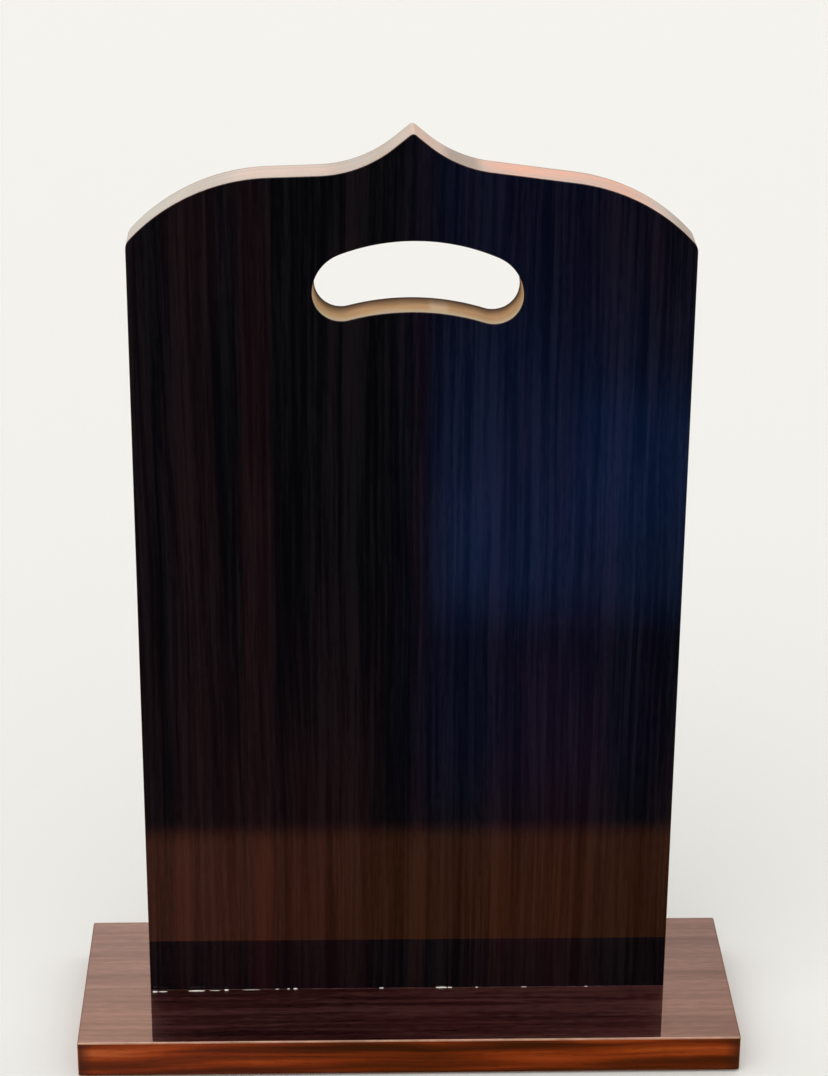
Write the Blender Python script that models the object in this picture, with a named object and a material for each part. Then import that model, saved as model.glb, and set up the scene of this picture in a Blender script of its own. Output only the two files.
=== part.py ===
"""Wooden plaque: a veneered and lacquered upright panel with an ogee top and a hand slot, standing on a
rectangular base cut from the same board.

Two dowels locate the panel's foot on the base, and three countersunk screws pull the joint up from below.
The faces are veneered; the base's edges are banded, and the panel's are the bare core. Four thin felt
pads carry the base.

Frame: metres, +Z up, the front faces -Y. The origin is the middle of the footprint, on the surface that
the plaque stands on.
"""

import math

import bmesh
import bpy

MM = 0.001

# The space left for glue between two pieces that touch.
GAP = 0.3 * MM
# How far an arc may lie from its chords.
CHORD_ERROR = 0.03 * MM

# The board that both the panel and the base are cut from.
BOARD = 19 * MM
VENEER = 0.6 * MM
EDGE_BAND = 1.0 * MM

# The upright panel.
PANEL_WIDTH = 260 * MM
PANEL_PEAK = 445.5 * MM  # above the base's top face
TIP_RADIUS = 2 * MM
TIP_SLOPE = 39.5  # degrees, of the two flanks that meet at the peak
SWEEP_RADIUS = 57 * MM  # the hollow curve below the peak
CROWN_RADIUS = 89.4 * MM  # the round shoulder
CROWN_SLOPE = 47.5
CORNER_RADIUS = 7 * MM
# The ogee is cut by hand, and its halves differ a little.
TIP_FLANK = {"left": 9.1 * MM, "right": 7.5 * MM}
SHOULDER_SLOPE = {"left": 1.9, "right": 7.5}

# The hand slot, a bean with its hollow side down, cut a little to the right of the middle and not quite
# level.
SLOT_TOP = 395.6 * MM  # above the base's top face
SLOT_SHIFT = 2.9 * MM
SLOT_TILT = -1.3  # degrees, so the right end is the lower one
SLOT_PIVOT = 12 * MM  # below the slot's top, the point that it is tilted about
SLOT_ROOF_RADIUS = 94 * MM
SLOT_ROOF_TURN = 22.7
SLOT_SHOULDER_RADIUS = 19.8 * MM
SLOT_LOBE_RADIUS = 13.4 * MM
SLOT_LOBE_TURN = 16.4

# The base.
BASE_WIDTH = 327 * MM
BASE_DEPTH = 114 * MM
PAD_HEIGHT = 1.2 * MM
PAD_RADIUS = 9 * MM
PAD_INSET = 16 * MM  # from the base's edges to a pad's middle

# The dowels, along the middle of the joint.
DOWEL_PLACES = {"left": -45 * MM, "right": 45 * MM}
DOWEL_RADIUS = 4 * MM
DOWEL_IN_BASE = 12 * MM
DOWEL_IN_PANEL = 16 * MM
DOWEL_CHAMFER = 1 * MM
DOWEL_FLUTE = 0.25 * MM
DOWEL_SPARE = 0.6 * MM  # room for glue past each end

# The screws, up through the base into the panel's foot.
SCREW_PLACES = {"left": -95 * MM, "middle": 0.0, "right": 95 * MM}
SCREW_LENGTH = 45 * MM
SCREW_SUNK = 0.5 * MM  # how far the head lies above the underside
HEAD_RADIUS = 3.9 * MM
HEAD_RIM = 0.4 * MM
SHANK_RADIUS = 1.9 * MM
SHANK_LENGTH = 20 * MM
THREAD_ROOT = 1.35 * MM
THREAD_CREST = 2.0 * MM
THREAD_PITCH = 2.0 * MM
THREAD_HALF_WIDTH = 0.4  # of the ridge, in pitches
THREAD_ROWS_PER_TURN = 4
POINT_LENGTH = 4 * MM
PILOT_SPARE = 1 * MM  # the pilot hole's depth past the point
RECESS_DEPTH = 1.9 * MM
RECESS_LENGTH = 4.4 * MM
RECESS_WIDTH = 0.9 * MM
RECESS_TAPER = 0.5  # the recess's size at its bottom, as a share of its size at the head's face

ROUND_SIDES = 16
HOLE_SIDES = 24

# Heights and thicknesses worked out from the dimensions above.
BASE_BOTTOM = PAD_HEIGHT
BASE_TOP = BASE_BOTTOM + BOARD
PANEL_FOOT = BASE_TOP + GAP
CORE = BOARD - 2 * (VENEER + GAP)
CORE_BOTTOM = BASE_BOTTOM + VENEER + GAP
CORE_TOP = CORE_BOTTOM + CORE


def hole_radius(radius):
    """The radius of a hole whose flats clear a round piece by the gap."""
    return (radius + GAP) / math.cos(math.pi / HOLE_SIDES)


DOWEL_BORE = hole_radius(DOWEL_RADIUS)
SCREW_BORE = hole_radius(THREAD_CREST)
# A 45 degree seat needs the gap times the root of 2 sideways.
HEAD_BORE = hole_radius(HEAD_RADIUS) + (math.sqrt(2) - 1) * GAP
SCREW_BASE = BASE_BOTTOM + SCREW_SUNK
SCREW_HOLE_TOP = SCREW_BASE + SCREW_LENGTH + PILOT_SPARE
DOWEL_BASE = BASE_TOP - DOWEL_IN_BASE
DOWEL_END = PANEL_FOOT + DOWEL_IN_PANEL


class Pen:
    """Walks an outline of straight runs and arcs in the XZ plane, each tangent to the one before."""

    def __init__(self, x, z):
        self.points = [(x, z)]
        self.heading = 0.0  # degrees, 0 along +X

    def line(self, length):
        x, z = self.points[-1]
        angle = math.radians(self.heading)
        self.points.append((x + length * math.cos(angle), z + length * math.sin(angle)))

    def turn_to(self, radius, heading):
        """An arc that ends at this heading, to the left where the heading grows."""
        side = math.copysign(radius, heading - self.heading)
        start, end = math.radians(self.heading), math.radians(heading)
        x, z = self.points[-1]
        centre_x, centre_z = x - side * math.sin(start), z + side * math.cos(start)
        step = 2 * math.acos(1 - CHORD_ERROR / radius)
        count = max(2, math.ceil(abs(end - start) / step))
        for i in range(1, count + 1):
            angle = start + (end - start) * i / count
            self.points.append((centre_x + side * math.sin(angle), centre_z - side * math.cos(angle)))
        self.heading = heading


def half_panel(side):
    """The right half of the panel's outline from the peak down, with this side's flank and shoulder."""
    slope = SHOULDER_SLOPE[side]
    pen = Pen(0.0, BASE_TOP + PANEL_PEAK)
    pen.turn_to(TIP_RADIUS, -TIP_SLOPE)
    pen.line(TIP_FLANK[side])
    pen.turn_to(SWEEP_RADIUS, -slope)
    # The straight run is as long as it takes for the corner to end on the panel's side.
    sin_crown, sin_shoulder = math.sin(math.radians(CROWN_SLOPE)), math.sin(math.radians(slope))
    in_arcs = CROWN_RADIUS * (sin_crown - sin_shoulder) + CORNER_RADIUS * (1 - sin_crown)
    pen.line((PANEL_WIDTH / 2 - pen.points[-1][0] - in_arcs) / math.cos(math.radians(slope)))
    pen.turn_to(CROWN_RADIUS, -CROWN_SLOPE)
    pen.turn_to(CORNER_RADIUS, -90)
    pen.line(pen.points[-1][1] - PANEL_FOOT)
    return pen.points


def panel_outline():
    """The panel's outline, clockwise: from the peak down the right half, then up the left one."""
    return half_panel("right") + [(-x, z) for x, z in reversed(half_panel("left")[1:])]


def slot_outline():
    """The hand slot's outline, clockwise from the middle of its roof."""
    pen = Pen(0.0, SLOT_PIVOT)
    pen.turn_to(SLOT_ROOF_RADIUS, -SLOT_ROOF_TURN)
    pen.turn_to(SLOT_SHOULDER_RADIUS, -90)
    pen.turn_to(SLOT_LOBE_RADIUS, -180 - SLOT_LOBE_TURN)
    # The floor's bulge is the arc that closes the half outline level in the middle.
    pen.turn_to(pen.points[-1][0] / math.sin(math.radians(SLOT_LOBE_TURN)), -180)
    right = pen.points
    left = [(-x, z) for x, z in reversed(right[1:-1])]
    cos_tilt, sin_tilt = math.cos(math.radians(SLOT_TILT)), math.sin(math.radians(SLOT_TILT))
    pivot_z = BASE_TOP + SLOT_TOP - SLOT_PIVOT
    return [
        (SLOT_SHIFT + x * cos_tilt - z * sin_tilt, pivot_z + x * sin_tilt + z * cos_tilt)
        for x, z in right + left
    ]


def circle(x, z, radius, sides=HOLE_SIDES):
    """Points of a level circle about (x, 0, z). The radius may be a function of the angle."""
    angles = [math.tau * i / sides for i in range(sides)]
    reach = [radius(angle) if callable(radius) else radius for angle in angles]
    return [(x + r * math.cos(a), r * math.sin(a), z) for r, a in zip(reach, angles, strict=True)]


def rectangle(low, high, z):
    return [(low[0], low[1], z), (high[0], low[1], z), (high[0], high[1], z), (low[0], high[1], z)]


class Solid:
    """A closed body put together from loops of points, the walls between them and the faces they bound."""

    def __init__(self):
        self.work = bmesh.new()

    def loop(self, points):
        return [self.work.verts.new(point) for point in points]

    def wall(self, first, second, leave_out=None):
        """Quads between two loops, without the one that starts at the index leave_out."""
        for i in range(len(first)):
            j = (i + 1) % len(first)
            if i != leave_out:
                self.work.faces.new((first[i], first[j], second[j], second[i]))

    def tube(self, rings):
        """The wall through several rings of points. Returns the first and the last loop."""
        loops = [self.loop(ring) for ring in rings]
        for first, second in zip(loops, loops[1:], strict=False):
            self.wall(first, second)
        return loops[0], loops[-1]

    def point(self, loop, tip):
        """Closes a loop with a cone."""
        top = self.work.verts.new(tip)
        for i in range(len(loop)):
            self.work.faces.new((loop[i], loop[(i + 1) % len(loop)], top))

    def face(self, outer, holes=()):
        """The flat face inside the outer loop, less its holes."""
        if not holes:
            self.work.faces.new(outer)
            return
        edges = []
        for loop in (outer, *holes):
            for i in range(len(loop)):
                ends = (loop[i], loop[(i + 1) % len(loop)])
                edges.append(self.work.edges.get(ends) or self.work.edges.new(ends))
        bmesh.ops.triangle_fill(self.work, use_beauty=True, edges=edges)

    def mesh(self, name, finish, smooth=False):
        bmesh.ops.recalc_face_normals(self.work, faces=self.work.faces)
        mesh = bpy.data.meshes.new(name)
        self.work.to_mesh(mesh)
        self.work.free()
        mesh.materials.append(finish)
        if smooth:
            mesh.shade_smooth()
            mesh.set_sharp_from_angle(angle=math.radians(35))
        return mesh


def place(name, mesh, location=(0.0, 0.0, 0.0)):
    made = bpy.data.objects.new(name, mesh)
    made.location = location
    bpy.context.collection.objects.link(made)


def plate(name, outer, holes, z, thickness, finish):
    """A level plate between z and z + thickness, with straight holes."""
    solid = Solid()
    loops = []
    for points in (outer, *holes):
        loops.append(solid.tube([[(x, y, level) for x, y, _ in points] for level in (z, z + thickness)]))
    for end in (0, 1):
        outer_loop, *hole_loops = [ends[end] for ends in loops]
        solid.face(outer_loop, hole_loops)
    place(name, solid.mesh(name, finish))


def turned(name, rings, finish):
    """A round body with flat ends, as a mesh."""
    solid = Solid()
    for end in solid.tube(rings):
        solid.face(end)
    return solid.mesh(name, finish, smooth=True)


def panel_layer(name, front, back, finish, drilled=False):
    """One layer of the panel, from y = front to y = back. A drilled one has the fixings' holes in its
    foot."""
    solid = Solid()
    outline, slot = panel_outline(), slot_outline()
    outer = [solid.loop([(x, y, z) for x, z in outline]) for y in (front, back)]
    inner = [solid.loop([(x, y, z) for x, z in slot]) for y in (front, back)]
    foot = next(i for i, (_, z) in enumerate(outline) if math.isclose(z, PANEL_FOOT))
    solid.wall(*outer, leave_out=foot)
    solid.wall(*inner)
    for outer_loop, inner_loop in zip(outer, inner, strict=True):
        solid.face(outer_loop, [inner_loop])
    mouths = []
    if drilled:
        holes = [(x, DOWEL_BORE, DOWEL_END + DOWEL_SPARE) for x in DOWEL_PLACES.values()]
        holes += [(x, SCREW_BORE, SCREW_HOLE_TOP) for x in SCREW_PLACES.values()]
        for x, radius, top in holes:
            mouth, end = solid.tube([circle(x, PANEL_FOOT, radius), circle(x, top, radius)])
            solid.face(end)
            mouths.append(mouth)
    solid.face([outer[0][foot], outer[0][foot + 1], outer[1][foot + 1], outer[1][foot]], mouths)
    place(name, solid.mesh(name, finish))


def panel(finishes):
    face = BOARD / 2
    panel_layer("panel_core", -CORE / 2, CORE / 2, finishes["core_board"], drilled=True)
    panel_layer("panel_front_veneer", -face, VENEER - face, finishes["face_veneer"])
    panel_layer("panel_back_veneer", face - VENEER, face, finishes["face_veneer"])


def base_core(half_width, half_depth, finish):
    """The base's core, with the dowels' blind holes and the screws' countersunk holes."""
    solid = Solid()
    low, high = (-half_width, -half_depth), (half_width, half_depth)
    bottom, top = solid.tube([rectangle(low, high, z) for z in (CORE_BOTTOM, CORE_TOP)])
    bottom_mouths, top_mouths = [], []
    # The 45 degree seat narrows from the head's rim to the bore, and the core starts part way up it.
    rim = SCREW_BASE + HEAD_RIM
    seat_end = rim + HEAD_BORE - SCREW_BORE
    at_core = HEAD_BORE - max(0.0, CORE_BOTTOM - rim)
    for x in SCREW_PLACES.values():
        rings = [(CORE_BOTTOM, at_core), (seat_end, SCREW_BORE), (CORE_TOP, SCREW_BORE)]
        mouth, end = solid.tube([circle(x, z, radius) for z, radius in rings])
        bottom_mouths.append(mouth)
        top_mouths.append(end)
    for x in DOWEL_PLACES.values():
        depths = (DOWEL_BASE - DOWEL_SPARE, CORE_TOP)
        end, mouth = solid.tube([circle(x, z, DOWEL_BORE) for z in depths])
        solid.face(end)
        top_mouths.append(mouth)
    solid.face(bottom, bottom_mouths)
    solid.face(top, top_mouths)
    place("base_core", solid.mesh("base_core", finish))


def base(finishes):
    """The base's core between two face veneers, with bands round its edges between the veneers."""
    x, y = BASE_WIDTH / 2, BASE_DEPTH / 2
    edge = EDGE_BAND + GAP
    base_core(x - edge, y - edge, finishes["core_board"])
    whole = rectangle((-x, -y), (x, y), 0.0)
    fixings = [circle(at, 0.0, SCREW_BORE) for at in SCREW_PLACES.values()]
    fixings += [circle(at, 0.0, DOWEL_BORE) for at in DOWEL_PLACES.values()]
    heads = [circle(at, 0.0, HEAD_BORE) for at in SCREW_PLACES.values()]
    plate("base_top_veneer", whole, fixings, BASE_TOP - VENEER, VENEER, finishes["face_veneer"])
    plate("base_bottom_veneer", whole, heads, BASE_BOTTOM, VENEER, finishes["face_veneer"])
    bands = {
        "base_front_band": ((-x, -y), (x, EDGE_BAND - y)),
        "base_rear_band": ((-x, y - EDGE_BAND), (x, y)),
        "base_left_band": ((-x, edge - y), (EDGE_BAND - x, y - edge)),
        "base_right_band": ((x - EDGE_BAND, edge - y), (x, y - edge)),
    }
    for name, (low, high) in bands.items():
        plate(name, rectangle(low, high, 0.0), [], CORE_BOTTOM, CORE, finishes["edge_band"])


def dowels(finish):
    """Fluted dowels across the joint."""

    def fluted(angle):
        return DOWEL_RADIUS - DOWEL_FLUTE * (round(angle * ROUND_SIDES / math.pi) % 2)

    end_radius = DOWEL_RADIUS - DOWEL_CHAMFER
    rows = [
        (DOWEL_BASE, end_radius),
        (DOWEL_BASE + DOWEL_CHAMFER, fluted),
        (DOWEL_END - DOWEL_CHAMFER, fluted),
        (DOWEL_END, end_radius),
    ]
    mesh = turned("dowel", [circle(0.0, z, radius, 2 * ROUND_SIDES) for z, radius in rows], finish)
    for side, x in DOWEL_PLACES.items():
        place("dowel_" + side, mesh, (x, 0.0, 0.0))


def ridge(height):
    """The thread's radius at this height above its start, as a function of the angle."""

    def radius(angle):
        turn = (height / THREAD_PITCH - angle / math.tau) % 1.0
        rise = max(0.0, 1 - abs(turn - 0.5) / THREAD_HALF_WIDTH)
        return THREAD_ROOT + (THREAD_CREST - THREAD_ROOT) * rise

    return radius


def cross(z, scale):
    """The cross recess's outline, anticlockwise, at a share of its size."""
    arm, half = scale * RECESS_LENGTH / 2, scale * RECESS_WIDTH / 2
    points = []
    for quarter in range(4):
        cosine, sine = round(math.cos(quarter * math.pi / 2)), round(math.sin(quarter * math.pi / 2))
        for along, across in ((arm, -half), (arm, half), (half, half)):
            points.append((along * cosine - across * sine, along * sine + across * cosine, z))
    return points


def screws(finish):
    """Countersunk screws that point up, each with its head's face at its own z = 0."""
    step = THREAD_PITCH / THREAD_ROWS_PER_TURN
    thread_rows = int((SCREW_LENGTH - POINT_LENGTH - SHANK_LENGTH) / step)
    rows = [
        (0.0, HEAD_RADIUS),
        (HEAD_RIM, HEAD_RADIUS),
        (HEAD_RIM + HEAD_RADIUS - SHANK_RADIUS, SHANK_RADIUS),
        (SHANK_LENGTH - step, SHANK_RADIUS),
        (SHANK_LENGTH, THREAD_ROOT),
    ]
    rows += [(SHANK_LENGTH + i * step, ridge(i * step)) for i in range(1, thread_rows + 1)]
    rows.append((SCREW_LENGTH - POINT_LENGTH + step, THREAD_ROOT))
    solid = Solid()
    head, neck = solid.tube([circle(0.0, z, radius, ROUND_SIDES) for z, radius in rows])
    solid.point(neck, (0.0, 0.0, SCREW_LENGTH))
    recess, recess_end = solid.tube([cross(0.0, 1.0), cross(RECESS_DEPTH, RECESS_TAPER)])
    solid.face(head, [recess])
    solid.face(recess_end)
    mesh = solid.mesh("screw", finish, smooth=True)
    for side, x in SCREW_PLACES.items():
        place("screw_" + side, mesh, (x, 0.0, SCREW_BASE))


def pads(finish):
    rings = [circle(0.0, z, PAD_RADIUS, 2 * ROUND_SIDES) for z in (0.0, PAD_HEIGHT - GAP)]
    mesh = turned("pad", rings, finish)
    for x_name, x_side in (("left", -1), ("right", 1)):
        for y_name, y_side in (("front", -1), ("rear", 1)):
            x = x_side * (BASE_WIDTH / 2 - PAD_INSET)
            y = y_side * (BASE_DEPTH / 2 - PAD_INSET)
            place(f"pad_{y_name}_{x_name}", mesh, (x, y, 0.0))


def material(name, colour, roughness, metallic=0.0, coat=0.0):
    made = bpy.data.materials.new(name)
    made.use_nodes = True
    shader = made.node_tree.nodes["Principled BSDF"]
    shader.inputs["Base Color"].default_value = (*colour, 1.0)
    shader.inputs["Roughness"].default_value = roughness
    shader.inputs["Metallic"].default_value = metallic
    shader.inputs["Coat Weight"].default_value = coat
    made.diffuse_color = (*colour, 1.0)
    return made


def main():
    for old in list(bpy.data.objects):
        bpy.data.objects.remove(old)
    finishes = {
        "face_veneer": material("face_veneer", (0.012, 0.007, 0.008), 0.12, coat=1.0),
        "edge_band": material("edge_band", (0.11, 0.028, 0.010), 0.15, coat=1.0),
        "core_board": material("core_board", (0.50, 0.36, 0.24), 0.30, coat=0.5),
    }
    panel(finishes)
    base(finishes)
    dowels(material("beech", (0.55, 0.36, 0.18), 0.60))
    screws(material("zinc_steel", (0.62, 0.60, 0.52), 0.35, metallic=1.0))
    pads(material("felt", (0.035, 0.033, 0.032), 0.95))


main()
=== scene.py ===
"""Looks of the wooden plaque: a black-brown ebony-grain panel with an ogee top and a hand slot, standing on
a base of the same veneered board, all under clear high-gloss lacquer.

Every piece is a closed mesh with small rounded arrises that takes the place of its CAD node. Metres, in the
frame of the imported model: +Z up, the front faces -Y.
"""

import math
import random

import bmesh
import bpy
from mathutils import Matrix, Vector


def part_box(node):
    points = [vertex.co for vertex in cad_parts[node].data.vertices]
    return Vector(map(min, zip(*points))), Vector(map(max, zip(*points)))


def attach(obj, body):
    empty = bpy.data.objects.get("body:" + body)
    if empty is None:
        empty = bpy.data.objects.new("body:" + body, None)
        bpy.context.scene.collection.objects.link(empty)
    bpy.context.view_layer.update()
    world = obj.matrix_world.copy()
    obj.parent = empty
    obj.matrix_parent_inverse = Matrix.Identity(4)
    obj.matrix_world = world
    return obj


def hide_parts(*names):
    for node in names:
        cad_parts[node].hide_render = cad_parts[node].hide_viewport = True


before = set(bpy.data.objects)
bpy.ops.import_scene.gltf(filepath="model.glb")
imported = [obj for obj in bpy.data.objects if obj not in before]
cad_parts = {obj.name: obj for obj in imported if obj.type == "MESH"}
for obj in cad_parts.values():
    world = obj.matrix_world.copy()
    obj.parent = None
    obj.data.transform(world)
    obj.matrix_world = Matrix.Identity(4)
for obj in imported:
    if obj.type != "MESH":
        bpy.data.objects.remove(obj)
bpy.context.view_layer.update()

MM = 0.001
ROOT = "root"

# Sizes from the frame.
PANEL_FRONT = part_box("panel_front_veneer")[0].y
PANEL_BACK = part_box("panel_back_veneer")[1].y
PANEL_HALF_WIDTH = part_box("panel_core")[1].x
PANEL_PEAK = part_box("panel_core")[1].z
BASE_LOW, BASE_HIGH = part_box("base_bottom_veneer")[0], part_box("base_top_veneer")[1]
BASE_TOP = BASE_HIGH.z
VENEER_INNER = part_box("panel_core")[1].y  # the core's face, which the veneer is glued to
BAND_LOW, BAND_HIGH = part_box("base_core")[0].z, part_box("base_core")[1].z
BAND_INNER_X, BAND_INNER_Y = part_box("base_core")[1].x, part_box("base_core")[1].y

# A hair's breadth between pieces that touch.
HAIR = 0.02 * MM
CHORD_ERROR = 0.004 * MM
ROUND_STEPS = 5  # in the quarter round of an arris
SHARP_ANGLE = 35  # degrees, from which an edge is shaded as sharp

# The ogee and the slot, as in the part.
TIP_RADIUS = 2 * MM
TIP_SLOPE = 39.5
TIP_FLANK = {"left": 9.1 * MM, "right": 7.5 * MM}
SWEEP_RADIUS = 57 * MM
SHOULDER_SLOPE = {"left": 1.9, "right": 7.5}
CROWN_RADIUS = 89.4 * MM
CROWN_SLOPE = 47.5
CORNER_RADIUS = 7 * MM
SLOT_TOP = 395.6 * MM  # above the base's top face
SLOT_SHIFT = 2.9 * MM
SLOT_TILT = -1.3  # degrees
SLOT_PIVOT = 12 * MM  # below the slot's top, the point that it is tilted about
SLOT_ROOF_RADIUS = 94 * MM
SLOT_ROOF_TURN = 22.7
SLOT_SHOULDER_RADIUS = 19.8 * MM
SLOT_LOBE_RADIUS = 13.4 * MM
SLOT_LOBE_TURN = 16.4
# The saw leaned a little, so the slot narrows towards the back, by this much all round.
SLOT_TAPER = 0.9 * MM

# Rounded arrises.
PANEL_ARRIS = 0.45 * MM
BASE_ARRIS = 0.85 * MM
BASE_CORNER = 1.1 * MM  # seen from above, and more than the arris, which would swallow it


# ---------------------------------------------------------------- outlines


class Pen:
    """Walks an outline clockwise. Each point is (u, v, outward u, outward v)."""

    def __init__(self, u, v, heading=0.0):
        self.u, self.v, self.heading = u, v, heading
        self.points = []
        self.mark()

    def mark(self):
        angle = math.radians(self.heading)
        self.points.append((self.u, self.v, -math.sin(angle), math.cos(angle)))

    def line(self, length):
        angle = math.radians(self.heading)
        self.u += length * math.cos(angle)
        self.v += length * math.sin(angle)
        self.mark()

    def turn_to(self, radius, heading):
        side = math.copysign(radius, heading - self.heading)
        start, end = math.radians(self.heading), math.radians(heading)
        centre_u, centre_v = self.u - side * math.sin(start), self.v + side * math.cos(start)
        step = 2 * math.acos(1 - CHORD_ERROR / radius)
        count = max(3, math.ceil(abs(end - start) / step))
        for i in range(1, count + 1):
            angle = start + (end - start) * i / count
            self.u, self.v = centre_u + side * math.sin(angle), centre_v - side * math.cos(angle)
            self.heading = math.degrees(angle)
            self.mark()


def mirrored(points):
    return [(-u, v, -nu, nv) for u, v, nu, nv in reversed(points)]


def half_panel(side):
    """The right half from the peak down, with this side's flank and shoulder."""
    slope = SHOULDER_SLOPE[side]
    pen = Pen(0.0, PANEL_PEAK)
    pen.turn_to(TIP_RADIUS, -TIP_SLOPE)
    pen.line(TIP_FLANK[side])
    pen.turn_to(SWEEP_RADIUS, -slope)
    # The straight run is as long as it takes for the corner to end on the panel's side.
    sin_crown, sin_shoulder = math.sin(math.radians(CROWN_SLOPE)), math.sin(math.radians(slope))
    in_arcs = CROWN_RADIUS * (sin_crown - sin_shoulder) + CORNER_RADIUS * (1 - sin_crown)
    pen.line((PANEL_HALF_WIDTH - pen.u - in_arcs) / math.cos(math.radians(slope)))
    pen.turn_to(CROWN_RADIUS, -CROWN_SLOPE)
    pen.turn_to(CORNER_RADIUS, -90)
    pen.line(pen.v - BASE_TOP - HAIR)
    return pen.points


def panel_outline():
    return half_panel("right") + mirrored(half_panel("left")[1:])


def slot_outline():
    """Clockwise round the slot, so its outward side is the wood round it."""
    pen = Pen(0.0, SLOT_PIVOT)
    pen.turn_to(SLOT_ROOF_RADIUS, -SLOT_ROOF_TURN)
    pen.turn_to(SLOT_SHOULDER_RADIUS, -90)
    pen.turn_to(SLOT_LOBE_RADIUS, -180 - SLOT_LOBE_TURN)
    # The floor's bulge is the arc that closes the half outline level in the middle.
    pen.turn_to(pen.u / math.sin(math.radians(SLOT_LOBE_TURN)), -180)
    cos, sin = math.cos(math.radians(SLOT_TILT)), math.sin(math.radians(SLOT_TILT))
    pivot = BASE_TOP + SLOT_TOP - SLOT_PIVOT
    return [
        (
            SLOT_SHIFT + u * cos - v * sin,
            pivot + u * sin + v * cos,
            nu * cos - nv * sin,
            nu * sin + nv * cos,
        )
        for u, v, nu, nv in pen.points + mirrored(pen.points[1:-1])
    ]


def rectangle(low, high, radii):
    """A rectangle, clockwise from its low-u high-v corner. Each corner has its own radius, or 0."""
    corners = [(low[0], high[1], 90), (high[0], high[1], 0), (high[0], low[1], -90), (low[0], low[1], -180)]
    points = []
    for (u, v, heading), radius in zip(corners, radii, strict=True):
        along = math.radians(heading)
        side_u = math.cos(along - math.pi / 2) + math.cos(along + math.pi)
        side_v = math.sin(along - math.pi / 2) + math.sin(along + math.pi)
        if not radius:
            points.append((u, v, -side_u, -side_v))
            continue
        start_u, start_v = u - radius * math.cos(along), v - radius * math.sin(along)
        pen = Pen(start_u, start_v, heading)
        pen.turn_to(radius, heading - 90)
        points += pen.points
    return points


def circle(u, v, radius, sides=48):
    turns = [-math.tau * i / sides for i in range(sides)]
    return [(u + radius * math.cos(t), v + radius * math.sin(t), math.cos(t), math.sin(t)) for t in turns]


def on_panel(u, v, w):
    return (u, w, v)


def on_base(u, v, w):
    return (u, v, w)


def rounded(start, inward, radius):
    """Levels (w, inset) of a quarter round that begins on the face at w = start."""
    levels = []
    for i in range(ROUND_STEPS + 1):
        angle = math.pi / 2 * i / ROUND_STEPS
        levels.append((start + inward * radius * (1 - math.cos(angle)), radius * (1 - math.sin(angle))))
    return levels


# ---------------------------------------------------------------- meshes


def finish_mesh(name, work, materials, nodes):
    """Links a bmesh as a smooth-shaded piece that takes the place of its CAD nodes."""
    bmesh.ops.recalc_face_normals(work, faces=work.faces)
    mesh = bpy.data.meshes.new(name)
    work.to_mesh(mesh)
    work.free()
    for material in materials:
        mesh.materials.append(material)
    mesh.shade_smooth()
    mesh.set_sharp_from_angle(angle=math.radians(SHARP_ANGLE))
    piece = bpy.data.objects.new(name, mesh)
    bpy.context.scene.collection.objects.link(piece)
    weighted = piece.modifiers.new("even_faces", "WEIGHTED_NORMAL")
    weighted.mode = "FACE_AREA"
    weighted.keep_sharp = True
    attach(piece, ROOT)
    if nodes:
        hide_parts(*nodes)


def layered(name, outer, holes, levels, lift, materials, nodes=(), walls=(0, 0), taper=None):
    """A closed piece: the outline and its holes at each level (w, inset), joined by walls, with a flat face
    at the first and the last level. walls holds the materials of the outer wall and of the holes' walls.
    A rounded arris keeps the first material, as the faces do. taper says how much narrower the holes are at
    each w."""
    work = bmesh.new()
    loops = []
    for outline, sign, wall in [(outer, -1, walls[0])] + [(hole, 1, walls[1]) for hole in holes]:
        rings = []
        for w, inset in levels:
            shift = sign * inset - (taper(w) if taper and sign > 0 else 0.0)
            rings.append(
                [work.verts.new(lift(u + nu * shift, v + nv * shift, w)) for u, v, nu, nv in outline]
            )
        count = len(outline)
        for row in range(len(rings) - 1):
            first, second = rings[row], rings[row + 1]
            straight = levels[row][1] == levels[row + 1][1]
            for i in range(count):
                j = (i + 1) % count
                face = work.faces.new((first[i], first[j], second[j], second[i]))
                face.material_index = wall if straight else 0
        loops.append(rings)
    for end in (0, -1):
        edges = []
        for rings in loops:
            ring = rings[end]
            edges += [work.edges.get((ring[i], ring[(i + 1) % len(ring)])) for i in range(len(ring))]
        bmesh.ops.triangle_fill(work, use_beauty=True, edges=edges)
    finish_mesh(name, work, materials, nodes)


def turned(name, x, y, rows, sides, materials, nodes=()):
    """A closed round piece about a vertical axis, from rows of (z, radius). A radius may be a function of
    the angle, and a radius of 0 closes that end in a point."""
    work = bmesh.new()
    rings = []
    for z, radius in rows:
        if radius == 0:
            rings.append([work.verts.new((x, y, z))])
            continue
        ring = []
        for i in range(sides):
            angle = math.tau * i / sides
            reach = radius(angle) if callable(radius) else radius
            ring.append(work.verts.new((x + reach * math.cos(angle), y + reach * math.sin(angle), z)))
        rings.append(ring)
    for first, second in zip(rings, rings[1:], strict=False):
        for i in range(sides):
            j = (i + 1) % sides
            corners = [first[i % len(first)], first[j % len(first)]]
            corners += [second[j % len(second)], second[i % len(second)]]
            # Where a row is a single point, two corners are the same.
            work.faces.new(list(dict.fromkeys(corners)))
    finish_mesh(name, work, materials, nodes)


# ---------------------------------------------------------------- shaders


def fill_ramp(ramp, stops):
    """Sets a colour ramp to (place, colour) stops, where a colour may be one grey number."""
    while len(ramp.elements) > 1:
        ramp.elements.remove(ramp.elements[-1])
    for index, (place, colour) in enumerate(stops):
        element = ramp.elements.new(place) if index else ramp.elements[0]
        element.position = place
        element.color = (*colour, 1.0) if isinstance(colour, tuple) else (colour, colour, colour, 1.0)


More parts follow.
